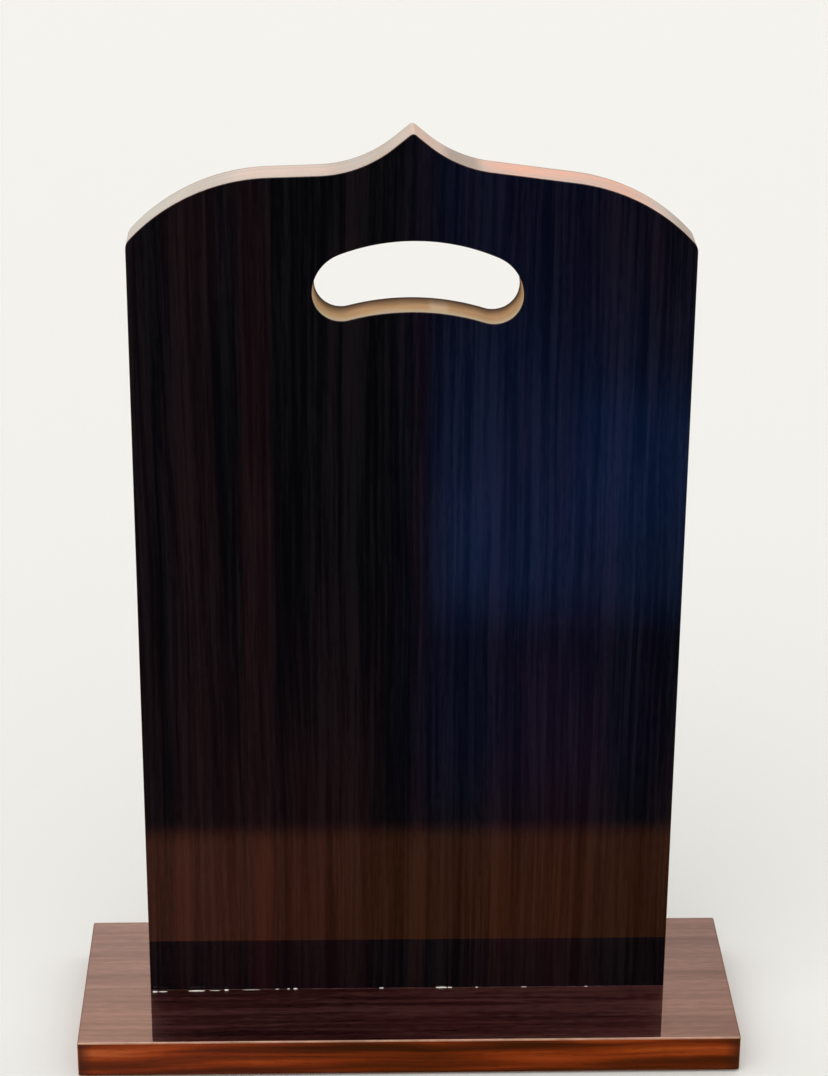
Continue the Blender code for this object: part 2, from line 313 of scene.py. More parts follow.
class Nodes:
    """A node tree with short calls for its nodes. Each call returns an output, except node."""

    def __init__(self, tree):
        self.tree = tree

    def node(self, kind, inputs=(), **properties):
        made = self.tree.nodes.new(kind)
        for key, value in properties.items():
            setattr(made, key, value)
        for key, value in dict(inputs).items():
            if isinstance(value, bpy.types.NodeSocket):
                self.tree.links.new(value, made.inputs[key])
            else:
                made.inputs[key].default_value = value
        return made

    def math(self, operation, first, second=0.0, clamp=False):
        made = self.node("ShaderNodeMath", {0: first, 1: second}, operation=operation, use_clamp=clamp)
        return made.outputs[0]

    def between(self, value, low, high, start=0.0, end=1.0, kind="LINEAR"):
        """Goes from start to end as the value goes from low to high, and no further."""
        ends = {"Value": value, "From Min": low, "From Max": high, "To Min": start, "To Max": end}
        return self.node("ShaderNodeMapRange", ends, interpolation_type=kind).outputs["Result"]

    def ramp(self, value, stops):
        made = self.node("ShaderNodeValToRGB", {"Fac": value})
        fill_ramp(made.color_ramp, stops)
        return made.outputs["Color"]

    def axis(self, index, source):
        return self.node("ShaderNodeSeparateXYZ", {0: source}).outputs[index]


class Shader(Nodes):
    """A Principled material."""

    def __init__(self, name, **sockets):
        self.material = bpy.data.materials.new(name)
        self.material.use_nodes = True
        super().__init__(self.material.node_tree)
        self.bsdf = self.tree.nodes["Principled BSDF"]
        for socket, value in sockets.items():
            self.bsdf.inputs[socket.replace("_", " ")].default_value = value
        self.position = self.node("ShaderNodeTexCoord").outputs["Object"]

    def axis(self, index, source=None):
        return super().axis(index, source or self.position)

    def scaled(self, scale, source=None):
        """The position stretched along each axis. A small number draws a pattern out along that axis."""
        made = self.node("ShaderNodeMapping", {"Vector": source or self.position, "Scale": scale})
        return made.outputs["Vector"]

    def shifted(self, wander, reach, axis):
        """The position pushed to and fro along an axis, so that what is drawn there wanders this far."""
        drift = self.math("MULTIPLY", self.math("SUBTRACT", wander, 0.5), reach)
        shift = self.node("ShaderNodeCombineXYZ", {axis: drift}).outputs[0]
        made = self.node("ShaderNodeVectorMath", {0: self.position, 1: shift}, operation="ADD")
        return made.outputs[0]

    def noise(self, vector, scale=1.0, detail=2.0, roughness=0.5):
        inputs = {"Vector": vector, "Scale": scale, "Detail": detail, "Roughness": roughness}
        return self.node("ShaderNodeTexNoise", inputs).outputs["Fac"]

    def patches(self, places, source=None):
        """Soft-edged patches along X, added up: the centre, reach and amount of each."""
        across = self.axis(0, source)
        bumps = []
        for centre, reach, amount in places:
            away = self.math("ABSOLUTE", self.math("SUBTRACT", across, centre * MM))
            core = PATCH_CORE * reach
            bump = self.between(away, reach * MM, core * MM, 0.0, amount, "SMOOTHSTEP")
            bumps.append((bump, 1.0))
        return self.blend_of(bumps)

    def blend_of(self, layers):
        """The weighted sum of (output, share) layers."""
        total = None
        for layer, share in layers:
            part = self.math("MULTIPLY", layer, share)
            total = self.math("ADD", total, part) if total else part
        return total

    def mix(self, amount, first, second, blend="MIX"):
        made = self.node("ShaderNodeMix", data_type="RGBA", blend_type=blend)
        for key, value in ((0, amount), (6, first), (7, second)):
            if isinstance(value, bpy.types.NodeSocket):
                self.tree.links.new(value, made.inputs[key])
            else:
                made.inputs[key].default_value = (*value, 1.0) if isinstance(value, tuple) else value
        return made.outputs[2]

    def bump(self, height, distance, strength=1.0):
        inputs = {"Height": height, "Distance": distance, "Strength": strength}
        return self.node("ShaderNodeBump", inputs).outputs["Normal"]

    def drive(self, **links):
        for socket, output in links.items():
            self.tree.links.new(output, self.bsdf.inputs[socket.replace("_", " ")])


def along_grain(grain, across, along, through):
    """A mapping scale for a board whose grain runs along this axis."""
    scales = {
        "X": (along, across, through),
        "Y": (across, along, through),
        "Z": (across, through, along),
    }
    return scales[grain]


def lacquer(shader, peel, relief=None, relief_height=0.0):
    """The lacquer's faint orange peel, this high, over whatever of the grain still shows as relief."""
    waves = shader.noise(shader.position, scale=220.0, detail=2.0, roughness=0.45)
    normal = shader.bump(waves, peel)
    if relief:
        inputs = {"Height": relief, "Distance": relief_height, "Normal": normal}
        normal = shader.node("ShaderNodeBump", inputs).outputs["Normal"]
    shader.drive(Coat_Normal=normal)


def veneer(name, grain, stripes, tones, wine, wine_level, shine_contrast, relief=0.0, reds=(), arris_tints=None):
    """Near-black striped veneer. stripes are layers of streaks that run with the grain and wander a little:
    (across, along, share of the colour, share of the shine). wine is a red-brown that is added in blotches,
    more of it for a higher level, and reds are sets of streaks with more of it; those that fade out with
    height paint warm light into the lower panel. relief is how high the grain shows in the lacquer.
    arris_tints has the colours of the base's front arris, a painted highlight, and of its other three."""
    shader = Shader(
        name, Roughness=0.45, IOR=1.45, Specular_IOR_Level=0.05, Coat_Roughness=0.02, Coat_IOR=1.5
    )
    wander = shader.noise(shader.scaled(along_grain(grain, 9, 3.0, 9)), detail=2.0)
    path = shader.shifted(wander, VENEER_WANDER, {"X": "Y", "Z": "X"}[grain])

    def streaks(across, along, detail=0.0):
        scale = along_grain(grain, across, along, across * 0.2)
        return shader.noise(shader.scaled(scale, path), detail=detail)

    layers = [(streaks(across, along), share, shine) for across, along, share, shine in stripes]
    tone = shader.blend_of([(layer, share) for layer, share, _ in layers])
    gloss = shader.blend_of([(layer, shine) for layer, _, shine in layers])
    shine = shader.math("MULTIPLY", shader.math("SUBTRACT", gloss, 0.5), shine_contrast)
    wines = [(streaks(50, 9.0, detail=2.0), 1.4), (tone, 1.6)]
    for places, fade, strength, lift in reds:
        streak = shader.patches(places, path)
        # Fading out with height paints warm light in low on the panel.
        if fade:
            low, high, left = fade
            streak = shader.math("MULTIPLY", streak, shader.between(shader.axis(2), low, high, 1.0, left))
        wines.append((streak, strength))
        if lift:
            shine = shader.blend_of([(shine, 1.0), (streak, lift)])
    amount = shader.math("ADD", shader.blend_of(wines), wine_level)
    # Half the amount of twice the wine, so that the bright streaks can pass its full strength.
    amount = shader.math("MULTIPLY", amount, 0.5, clamp=True)
    colour = shader.mix(amount, shader.ramp(tone, tones), tuple(2 * part for part in wine), "ADD")
    pores = shader.ramp(streaks(1500, 40.0), [(0.62, 0.0), (0.72, 1.0)])
    colour = shader.mix(shader.math("MULTIPLY", pores, 0.4), colour, tones[0][1])
    # The base's top front arris gets a painted highlight.
    if arris_tints:
        colour = tint_arrises_with_highlight(shader, colour, *arris_tints)
    shader.drive(Base_Color=colour, Coat_Weight=shader.math("ADD", shine, VENEER_COAT, clamp=True))
    lacquer(shader, 0.004 * MM, streaks(560, 3.0) if relief else None, relief)
    return shader.material


def tint_arrises_with_highlight(shader, colour, at_front, elsewhere):
    """The colour with a painted highlight, in patches, along the front arris of the base's top, and a paler
    brown along its other three arrises.
    """
    across, depth, height = (shader.axis(index) for index in range(3))
    past_front = shader.math("SUBTRACT", shader.math("MULTIPLY", depth, -1.0), BASE_HIGH.y - BASE_ARRIS)
    past_side = shader.math("SUBTRACT", shader.math("ABSOLUTE", across), BASE_HIGH.x - BASE_ARRIS)
    past_rear = shader.math("SUBTRACT", depth, BASE_HIGH.y - BASE_ARRIS)
    cloudy = shader.noise(shader.position, scale=70.0, detail=3.0)
    patchy = shader.ramp(cloudy, [(0.3, 0.55), (0.6, 1.0)])
    on_top = shader.math("GREATER_THAN", height, BASE_TOP - 2 * BASE_ARRIS)
    patchy = shader.math("MULTIPLY", patchy, on_top)
    # The front comes last, so that it keeps its colour at the corners.
    for past, arris_colour in ((shader.math("MAXIMUM", past_side, past_rear), elsewhere), (past_front, at_front)):
        arris_mask = shader.ramp(shader.math("DIVIDE", past, BASE_ARRIS), [(0.05, 0.0), (0.45, 1.0)])
        colour = shader.mix(shader.math("MULTIPLY", arris_mask, patchy), colour, arris_colour)
    return colour


def rosewood(name, grain):
    """Red-brown edge veneer with long wavy streaks, darker towards the base's corners, and with painted
    light along it.
    """
    shader = Shader(
        name,
        Roughness=0.45,
        IOR=1.45,
        Specular_IOR_Level=0.03,
        Coat_Weight=0.88,
        Coat_Roughness=0.04,
        Coat_IOR=1.5,
    )
    wander = shader.noise(shader.scaled(along_grain(grain, 12, 14, 12)), detail=2.0)
    path = shader.shifted(wander, ROSEWOOD_WANDER, "Z")

    def streaks(across, along, detail=1.0):
        scale = {"X": (along, 1.0, across), "Y": (1.0, along, across)}[grain]
        return shader.noise(shader.scaled(scale, path), detail=detail, roughness=0.55)

    along = {"X": 0, "Y": 1}[grain]
    reach = {"X": BASE_HIGH.x, "Y": BASE_HIGH.y}[grain]
    middle = (BAND_LOW + BAND_HIGH) / 2
    run = shader.math("DIVIDE", shader.axis(along), reach)
    from_middle = shader.math("SUBTRACT", shader.axis(2), middle)
    height = shader.math("DIVIDE", from_middle, middle - BAND_LOW)
    # Painted light: paler low on the left, where the lit desk's glow falls, and high on the right, paler
    # towards both ends, and a little paler on the left.
    painted_tilt = shader.math("MULTIPLY", shader.math("MULTIPLY", run, height), 0.055)
    layers = [(streaks(across, along), share) for across, along, share in ROSEWOOD_STRIPES]
    layers += [(shader.math("ABSOLUTE", run), 0.03), (run, -0.02), (painted_tilt, 1.0)]
    colour = shader.ramp(shader.blend_of(layers), ROSEWOOD_TONES)
    pores = shader.ramp(streaks(1100, 130.0, detail=0.0), [(0.60, 0.0), (0.72, 1.0)])
    colour = shader.mix(shader.math("MULTIPLY", pores, 0.30), colour, ROSEWOOD_TONES[0][1])
    near_end = shader.math("SUBTRACT", shader.math("ABSOLUTE", shader.axis(along)), reach - DARK_END_REACH)
    near_end = shader.math("DIVIDE", near_end, DARK_END_FADE, clamp=True)
    colour = shader.mix(shader.math("MULTIPLY", near_end, 0.8), colour, (0.018, 0.005, 0.004))
    shader.drive(Base_Color=colour)
    lacquer(shader, 0.006 * MM)
    return shader.material


def board_edge(name, tones, coat, roughness, bands_from_faces, pink_and_sheen_places=None, painted_patches=None):
    """Fine fibreboard edge, sealed and lacquered: soft cloudy tones, faint layers and fibre speckle. tones
    are its deep, grey and pink colours. pink_and_sheen_places are patches along X where it is pink, partly
    its own tone and partly a painted reflection. bands_from_faces are bands that reach in from a face: +1
    for the back or -1 for the front, the depth and the colour; in the slot they are painted shade and a
    painted highlight. painted_patches is the colour of patches of painted light and their places: shade on
    the ogee's edge, a highlight on the slot's walls."""
    shader = Shader(
        name,
        Roughness=roughness,
        Specular_IOR_Level=0.02,
        Coat_Weight=coat,
        Coat_Roughness=0.2,
        Coat_IOR=1.5,
    )
    clouds = shader.noise(shader.scaled((16, 60, 16)), detail=3.0, roughness=0.6)
    tints = shader.ramp(shader.noise(shader.scaled((9, 9, 9)), detail=2.0), [(0.42, 0.0), (0.58, 1.0)])
    fibres = shader.noise(shader.scaled((900, 2600, 900)), detail=2.0)
    layers = shader.noise(shader.scaled((10, 600, 10)), detail=2.0)
    deep, grey, pink = tones
    tone = shader.blend_of([(clouds, 0.45), (fibres, 0.2), (layers, 0.35)])
    pinkness = tints
    # Pink patches along the edge, partly its own tone and partly a painted reflection.
    if pink_and_sheen_places:
        pinkness = shader.blend_of([(tints, 0.2), (shader.patches(pink_and_sheen_places), 0.8)])
    pale = shader.mix(pinkness, grey, pink)
    colour = shader.mix(shader.ramp(tone, [(0.36, 0.0), (0.56, 1.0)]), deep, pale)
    # Patches of painted light: shade on the ogee's edge, a highlight on the slot's walls.
    if painted_patches:
        colour = shader.mix(shader.patches(painted_patches[1]), colour, painted_patches[0])
    uneven = shader.noise(shader.scaled((60, 60, 60)), detail=2.0)
    # Bands along the front and the back; in the slot these are painted shade and a painted highlight.
    for direction, depth, band_colour in bands_from_faces:
        behind = shader.math("SUBTRACT", PANEL_BACK, shader.math("MULTIPLY", shader.axis(1), direction))
        reach = shader.math("MULTIPLY", shader.math("ADD", uneven, 0.5), depth)
        amount = shader.math("SUBTRACT", 1.10, shader.math("DIVIDE", behind, reach), clamp=True)
        colour = shader.mix(amount, colour, band_colour)
    shader.drive(Base_Color=colour, Normal=shader.bump(fibres, 0.01 * MM, 0.5))
    lacquer(shader, 0.008 * MM)
    return shader.material


def plain_finishes():
    """Beech, steel, felt and glue."""
    beech = Shader("beech", Roughness=0.6)
    grain = beech.noise(beech.scaled((900, 900, 30)), detail=3.0)
    beech.drive(
        Base_Color=beech.ramp(grain, [(0.35, (0.42, 0.25, 0.11)), (0.65, (0.62, 0.42, 0.22))]),
        Normal=beech.bump(grain, 0.03 * MM),
    )
    steel = Shader("zinc_steel", Metallic=1.0, Roughness=0.32)
    blotch = steel.noise(steel.position, scale=700.0, detail=3.0)
    steel.drive(
        Base_Color=steel.ramp(blotch, [(0.35, (0.52, 0.50, 0.42)), (0.65, (0.72, 0.70, 0.62))]),
        Roughness=steel.ramp(blotch, [(0.3, 0.24), (0.7, 0.42)]),
        Normal=steel.bump(blotch, 0.01 * MM),
    )
    felt = Shader("felt", Roughness=0.95, Sheen_Weight=0.5, Sheen_Roughness=0.5)
    fuzz = felt.noise(felt.position, scale=2600.0, detail=4.0, roughness=0.7)
    felt.drive(
        Base_Color=felt.ramp(fuzz, [(0.35, (0.018, 0.017, 0.017)), (0.65, (0.060, 0.057, 0.055))]),
        Normal=felt.bump(fuzz, 0.12 * MM),
    )
    glue = Shader("white_glue", Roughness=0.25, Coat_Weight=0.6, Subsurface_Weight=0.1)
    crumbs = glue.noise(glue.position, scale=1800.0, detail=2.0)
    glue.drive(
        Base_Color=glue.ramp(crumbs, [(0.3, (0.62, 0.60, 0.56)), (0.6, (0.86, 0.85, 0.82))]),
        Normal=glue.bump(crumbs, 0.05 * MM),
    )
    seam = Shader("clear_glue", Roughness=0.5, Specular_IOR_Level=0.2)
    beads = seam.noise(seam.scaled((160, 400, 400)), detail=2.0)
    seam.drive(Base_Color=seam.ramp(beads, [(0.45, (0.020, 0.008, 0.007)), (0.7, (0.10, 0.055, 0.045))]))
    return {
        "beech": beech.material,
        "steel": steel.material,
        "felt": felt.material,
        "glue": glue.material,
        "seam": seam.material,
    }


# ---------------------------------------------------------------- the pieces


def slot_taper(y):
    return SLOT_TAPER * (y - PANEL_FRONT) / (PANEL_BACK - PANEL_FRONT)


def make_panel(face_veneer, champagne, slot_wall):
    outer, slot = panel_outline(), slot_outline()
    sides = {
        "panel_front_face": (PANEL_FRONT, 1, "panel_front_veneer"),
        "panel_back_face": (PANEL_BACK, -1, "panel_back_veneer"),
    }
    for name, (face, inward, node) in sides.items():
        levels = rounded(face, inward, PANEL_ARRIS)
        levels.append((-inward * (VENEER_INNER + HAIR), 0.0))
        finishes = [face_veneer, champagne, slot_wall]
        layered(
            name, outer, [slot], levels, on_panel, finishes, [node], (1, 2), slot_taper
        )
    levels = [(-VENEER_INNER, 0.0), (VENEER_INNER, 0.0)]
    finishes = [champagne, slot_wall]
    nodes = ["panel_core"]
    layered(
        "panel_board", outer, [slot], levels, on_panel, finishes, nodes, (0, 1), slot_taper
    )


def screw_places():
    boxes = [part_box("screw_" + side) for side in ("left", "middle", "right")]
    return [((low.x + high.x) / 2, low.z, high.z) for low, high in boxes]


def make_base(face_veneer, band_x, band_y):
    whole = rectangle(BASE_LOW.xy, BASE_HIGH.xy, [BASE_CORNER] * 4)
    levels = rounded(BASE_TOP, -1, BASE_ARRIS) + [(BAND_HIGH + HAIR, 0.0)]
    nodes = ["base_top_veneer"]
    layered("base_top_face", whole, [], levels, on_base, [face_veneer], nodes)
    heads = [circle(x, 0.0, HEAD_HOLE_RADIUS) for x, _, _ in screw_places()]
    levels = rounded(BASE_LOW.z, 1, BASE_ARRIS / 2) + [(BAND_LOW - HAIR, 0.0)]
    nodes = ["base_bottom_veneer"]
    layered("base_bottom_face", whole, heads, levels, on_base, [face_veneer], nodes)
    x, y = BASE_HIGH.x, BASE_HIGH.y
    r = BASE_CORNER
    # Corner radii run clockwise from the rear left corner.
    bands = {
        "front": ((-x, -y), (x, -BAND_INNER_Y - HAIR), [0, 0, r, r], band_x),
        "rear": ((-x, BAND_INNER_Y + HAIR), (x, y), [r, r, 0, 0], band_x),
        "left": ((-x, -BAND_INNER_Y), (-BAND_INNER_X - HAIR, BAND_INNER_Y), [0] * 4, band_y),
        "right": ((BAND_INNER_X + HAIR, -BAND_INNER_Y), (x, BAND_INNER_Y), [0] * 4, band_y),
    }
    for side, (low, high, radii, finish) in bands.items():
        outline = rectangle(low, high, radii)
        levels = [(BAND_LOW, 0.0), (BAND_HIGH, 0.0)]
        node = f"base_{side}_band"
        layered(f"base_{side}_edge", outline, [], levels, on_base, [finish], [node])


HEAD_HOLE_RADIUS = 4.3 * MM
HEAD_RADIUS = 3.9 * MM
SHANK_RADIUS = 1.9 * MM
SHANK_LENGTH = 20 * MM
THREAD_ROOT = 1.35 * MM
THREAD_CREST = 2.0 * MM
THREAD_PITCH = 2.0 * MM
THREAD_HALF_WIDTH = 0.4  # of the ridge, in pitches
THREAD_ROWS_PER_TURN = 8
POINT_LENGTH = 4 * MM
HEAD_RIM = 0.4 * MM
HEAD_BEVEL = 0.12 * MM
RECESS_DEPTH = 2.0 * MM
SCREW_SIDES = 48


def make_screws(steel):
    """Countersunk screws with a cross recess pressed into the head."""

    def ridge(height):
        def radius(angle):
            turn = (height / THREAD_PITCH - angle / math.tau) % 1.0
            rise = max(0.0, 1 - abs(turn - 0.5) / THREAD_HALF_WIDTH)
            return THREAD_ROOT + (THREAD_CREST - THREAD_ROOT) * rise

        return radius

    def recess(reach, half_width):
        """The cross's outline as a radius: arms of this reach and half width."""

        def radius(angle):
            off_arm = (angle + math.pi / 4) % (math.pi / 2) - math.pi / 4
            across = abs(math.sin(off_arm))
            return min(reach, half_width / max(across, 1e-6))

        return radius

    for side, (x, low, high) in zip(("left", "middle", "right"), screw_places(), strict=True):
        rows = [
            (low + RECESS_DEPTH, 0),
            (low + RECESS_DEPTH - 0.1 * MM, recess(1.0 * MM, 0.30 * MM)),
            (low + 0.02 * MM, recess(2.2 * MM, 0.45 * MM)),
            (low, recess(2.3 * MM, 0.52 * MM)),
            (low, HEAD_RADIUS - 0.15 * MM),
            (low + HEAD_BEVEL, HEAD_RADIUS),
            (low + HEAD_RIM, HEAD_RADIUS),
            (low + HEAD_RIM + HEAD_RADIUS - SHANK_RADIUS, SHANK_RADIUS),
            (low + SHANK_LENGTH - 0.5 * MM, SHANK_RADIUS),
            (low + SHANK_LENGTH, THREAD_ROOT),
        ]
        step = THREAD_PITCH / THREAD_ROWS_PER_TURN
        count = int((high - low - POINT_LENGTH - SHANK_LENGTH) / step)
        rows += [(low + SHANK_LENGTH + i * step, ridge(i * step)) for i in range(1, count + 1)]
        rows += [(high - POINT_LENGTH + step, THREAD_ROOT), (high, 0)]
        nodes = [f"screw_{side}"]
        turned(f"screw_{side}_steel", x, 0.0, rows, SCREW_SIDES, [steel], nodes)


PAD_SOFTNESS = 0.25 * MM  # of the rim's rounding
PAD_FRAY = 0.08 * MM
PAD_SIDES = 64


def make_pads(felt):
    """Felt discs with a soft, slightly uneven rim."""
    for node in ("pad_front_left", "pad_front_right", "pad_rear_left", "pad_rear_right"):
        low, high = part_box(node)
        centre, radius = (low + high) / 2, (high.x - low.x) / 2
        soft = PAD_SOFTNESS

        def rim(amount):
            return lambda angle: amount - PAD_FRAY * (1 + math.sin(7 * angle) * math.sin(3 * angle + 1))

        rows = [
            (low.z, 0),
            (low.z, radius - 2 * soft),
            (low.z + 0.3 * soft, rim(radius - 0.5 * soft)),
            (low.z + soft, rim(radius)),
            (high.z - 0.3 * soft, rim(radius)),
            (high.z, radius - 2 * soft),
            (high.z, 0),
        ]
        turned(node + "_felt", centre.x, centre.y, rows, PAD_SIDES, [felt], [node])


# White specks of cured glue on the front of the joint: the place along it, the length and the height, in mm.
GLUE_SPECKS = [
    (-127.6, 2.6, 0.50), (-123.6, 4.6, 0.30), (-106.6, 8.6, 0.40), (-97.5, 5.5, 0.15), (-79.0, 9.0, 0.13),
    (-91.6, 2.2, 0.50), (-66.0, 2.0, 0.20), (-60.3, 1.4, 0.32), (-56.8, 2.2, 0.42), (-13.2, 2.3, 0.36),
    (17.0, 5.8, 0.46), (21.4, 2.4, 0.38), (35.0, 1.4, 0.24), (59.0, 3.0, 0.20), (90.5, 2.0, 0.16),
]


BEAD = 0.20 * MM
BEAD_END = 0.4 * MM  # from the panel's sides
BEAD_STEPS = 240
BEAD_ROUND = 5  # points on its quarter round


def make_glue_lines(seam):
    """The clear glue squeezed out along both sides of the joint: a fine, uneven bead."""
    rng = random.Random(4)
    for name, face, outward in (("front", PANEL_FRONT, -1), ("back", PANEL_BACK, 1)):
        work = bmesh.new()
        previous = None
        for i in range(BEAD_STEPS + 1):
            x = -PANEL_HALF_WIDTH + BEAD_END + (2 * PANEL_HALF_WIDTH - 2 * BEAD_END) * i / BEAD_STEPS
            size = BEAD * (0.55 + 0.45 * rng.random())
            ring = []
            for j in range(BEAD_ROUND):
                angle = math.pi / 2 * j / (BEAD_ROUND - 1)
                y = face + outward * (size * math.cos(angle) - HAIR)
                ring.append(work.verts.new((x, y, BASE_TOP + HAIR + size * math.sin(angle))))
            ring.append(work.verts.new((x, face - outward * HAIR, BASE_TOP + HAIR)))
            if previous:
                for j in range(len(ring)):
                    k = (j + 1) % len(ring)
                    work.faces.new((previous[j], previous[k], ring[k], ring[j]))
            else:
                work.faces.new(ring)
            previous = ring
        work.faces.new(previous)
        finish_mesh(f"glue_line_{name}", work, [seam], [])


def make_glue_specks(glue):
    """Lumpy white specks that lie in the corner of the joint."""
    for index, (place, length, height) in enumerate(GLUE_SPECKS):
        work = bmesh.new()
        bmesh.ops.create_icosphere(work, subdivisions=3, radius=1.0)
        height *= MM
        # Towards the left end it was pushed further out.
        ahead = 0.025 * MM * max(0.0, -60 - place)
        centre = Vector((place * MM, PANEL_FRONT - 0.9 * height - ahead, BASE_TOP + 0.8 * height))
        for vertex in work.verts:
            across = math.sin(5.1 * vertex.co.x + index)
            lumpy = 1 + 0.22 * across * math.cos(3.7 * vertex.co.z + 2 * index)
            vertex.co.x = vertex.co.x * length * MM / 2
            vertex.co.y = vertex.co.y * height * 0.8 * lumpy
            vertex.co.z = vertex.co.z * height * lumpy
            vertex.co += centre
            vertex.co.z = max(vertex.co.z, BASE_TOP + HAIR)
        finish_mesh(f"glue_speck_{index + 1:02d}", work, [glue], [])


# ---------------------------------------------------------------- stage, light and camera


def unseen_card(name, low, high, colour, fades):
    """A glowing sheet that only reflections see. low and high are its corners, and fades is how far in from
    each side it reaches full strength: the low and the high side of its first axis, then of its second."""
    low, high = Vector(low), Vector(high)
    flat = min(range(3), key=lambda i: high[i] - low[i])
    spans = [i for i in range(3) if i != flat]
    mesh = bpy.data.meshes.new(name)
    corners = []
    for a, b in ((0, 0), (1, 0), (1, 1), (0, 1)):
        corner = low.copy()
        corner[spans[0]] = (low, high)[a][spans[0]]
        corner[spans[1]] = (low, high)[b][spans[1]]
        corners.append(corner)
    mesh.from_pydata(corners, [], [(0, 1, 2, 3)])
    card = bpy.data.objects.new(name, mesh)
    bpy.context.scene.collection.objects.link(card)
    material = bpy.data.materials.new(name)
    material.use_nodes = True
    material.node_tree.nodes.clear()
    nodes = Nodes(material.node_tree)
    place = nodes.node("ShaderNodeTexCoord").outputs["Object"]
    sides = [(axis, edge, inward) for axis in spans for edge, inward in ((low[axis], 1), (high[axis], -1))]
    strength = 1.0
    for (axis, edge, inward), fade in zip(sides, fades, strict=True):
        step = nodes.between(nodes.axis(axis, place), edge, edge + inward * fade, kind="SMOOTHSTEP")
        strength = nodes.math("MULTIPLY", strength, step)
    seen = (*(REFLECTED * part for part in colour), 1.0)
    glow = nodes.node("ShaderNodeEmission", {"Color": seen, "Strength": strength})
    clear = nodes.node("ShaderNodeBsdfTransparent")
    both = nodes.node("ShaderNodeAddShader", {0: glow.outputs[0], 1: clear.outputs[0]})
    nodes.node("ShaderNodeOutputMaterial", {"Surface": both.outputs[0]})
    mesh.materials.append(material)
    card.visible_camera = False
    card.visible_diffuse = False
    card.visible_transmission = False
    card.visible_shadow = False


def make_stage():
    """A plain pale floor and soft studio light."""
    mesh = bpy.data.meshes.new("floor")
    corners = [(x * FLOOR_REACH, y * FLOOR_REACH, 0) for x, y in ((-1, -1), (1, -1), (1, 1), (-1, 1))]
    mesh.from_pydata(corners, [], [(0, 1, 2, 3)])
    floor = bpy.data.objects.new("floor", mesh)
    bpy.context.scene.collection.objects.link(floor)
    pale = Shader("pale_floor", Roughness=0.9, Specular_IOR_Level=0.1, Base_Color=FLOOR_COLOUR)
    mesh.materials.append(pale.material)
    # The lacquer reflects the cards in place of this floor.
    floor.visible_glossy = False
    for name, card in CARDS.items():
        unseen_card(name, *card)
    data = bpy.data.lights.new("window", "SUN")
    data.energy = 0.65
    data.angle = math.radians(50)
    data.color = (1.0, 0.98, 0.96)
    light = bpy.data.objects.new("window", data)
    bpy.context.scene.collection.objects.link(light)
    light.rotation_euler = WINDOW_SIDE.to_track_quat("Z", "Y").to_euler()
    light.visible_glossy = False


def make_world():
    """Pale all round for the eye, even for soft light, and a bright band of sky for reflections."""
    world = bpy.data.worlds.new("studio")
    bpy.context.scene.world = world
    world.use_nodes = True
    world.node_tree.nodes.clear()
    nodes = Nodes(world.node_tree)
    toward = nodes.node("ShaderNodeTexCoord").outputs["Generated"]
    # The room in front of the plaque is dark, so its face stays black. The wall behind it is darker on the
    # right.
    front = nodes.between(nodes.axis(1, toward), -0.86, -0.55, 0.011, REFLECTED, "SMOOTHSTEP")
    aside = nodes.between(nodes.axis(0, toward), -0.05, 0.14, 1.0, 0.72)
    strength = nodes.math("MULTIPLY", front, aside)
    sky = nodes.ramp(nodes.axis(2, toward), REFLECTED_SKY)
    reflected = nodes.node("ShaderNodeBackground", {"Color": sky, "Strength": strength})
    seen = nodes.node("ShaderNodeBackground", {"Color": (0.905, 0.90, 0.88, 1.0)})
    soft = nodes.node("ShaderNodeBackground", {"Color": (1.0, 0.985, 0.96, 1.0), "Strength": 0.94})
    rays = nodes.node("ShaderNodeLightPath").outputs
    inputs = {0: rays["Is Glossy Ray"], 1: soft.outputs[0], 2: reflected.outputs[0]}
    unseen = nodes.node("ShaderNodeMixShader", inputs)
    inputs = {0: rays["Is Camera Ray"], 1: unseen.outputs[0], 2: seen.outputs[0]}
    whole = nodes.node("ShaderNodeMixShader", inputs)
    nodes.node("ShaderNodeOutputWorld", {"Surface": whole.outputs[0]})


def make_camera():
    """Stands in front, a little left and well above, and looks down at the plaque."""
    data = bpy.data.cameras.new("camera")
    data.sensor_width = 36.0
    data.lens = CAMERA_LENS
    camera = bpy.data.objects.new("camera", data)
    bpy.context.scene.collection.objects.link(camera)
    bpy.context.scene.camera = camera
    turn = Matrix.Rotation(math.radians(CAMERA_YAW), 4, "Z")
    turn @= Matrix.Rotation(math.radians(90 + CAMERA_PITCH), 4, "X")
    turn @= Matrix.Rotation(math.radians(-CAMERA_ROLL), 4, "Z")
    camera.matrix_world = Matrix.Translation(CAMERA_PLACE) @ turn


# ---------------------------------------------------------------- looks


# Streaks of the veneers: how fine they are across and along the grain, and their shares of colour and of
# shine.
PANEL_STRIPES = [
    (90, 1.5, 0.20, 0.12),
    (200, 3.0, 0.13, 0.20),
    (400, 7.0, 0.28, 0.26),
    (800, 18.0, 0.24, 0.25),
    (1400, 160.0, 0.15, 0.17),
]
BASE_STRIPES = [
    (60, 1.5, 0.12, 0.15),
    (120, 2.5, 0.18, 0.19),
    (230, 6.0, 0.26, 0.30),
    (450, 16.0, 0.24, 0.24),
    (900, 160.0, 0.20, 0.12),
]
ROSEWOOD_STRIPES = [(90, 6.0, 0.60), (260, 9.0, 0.25), (620, 16.0, 0.09), (1500, 60.0, 0.04)]
# How far the streaks wander off straight lines, in metres.
VENEER_WANDER = 0.012
ROSEWOOD_WANDER = 0.006
# The base's edge veneers are darker this far in from the corners, and the darkening fades in over this much
# of it.
DARK_END_REACH = 7.5 * MM
DARK_END_FADE = 6 * MM
# How much of the veneers is under the glossy coat, on average.
VENEER_COAT = 0.76

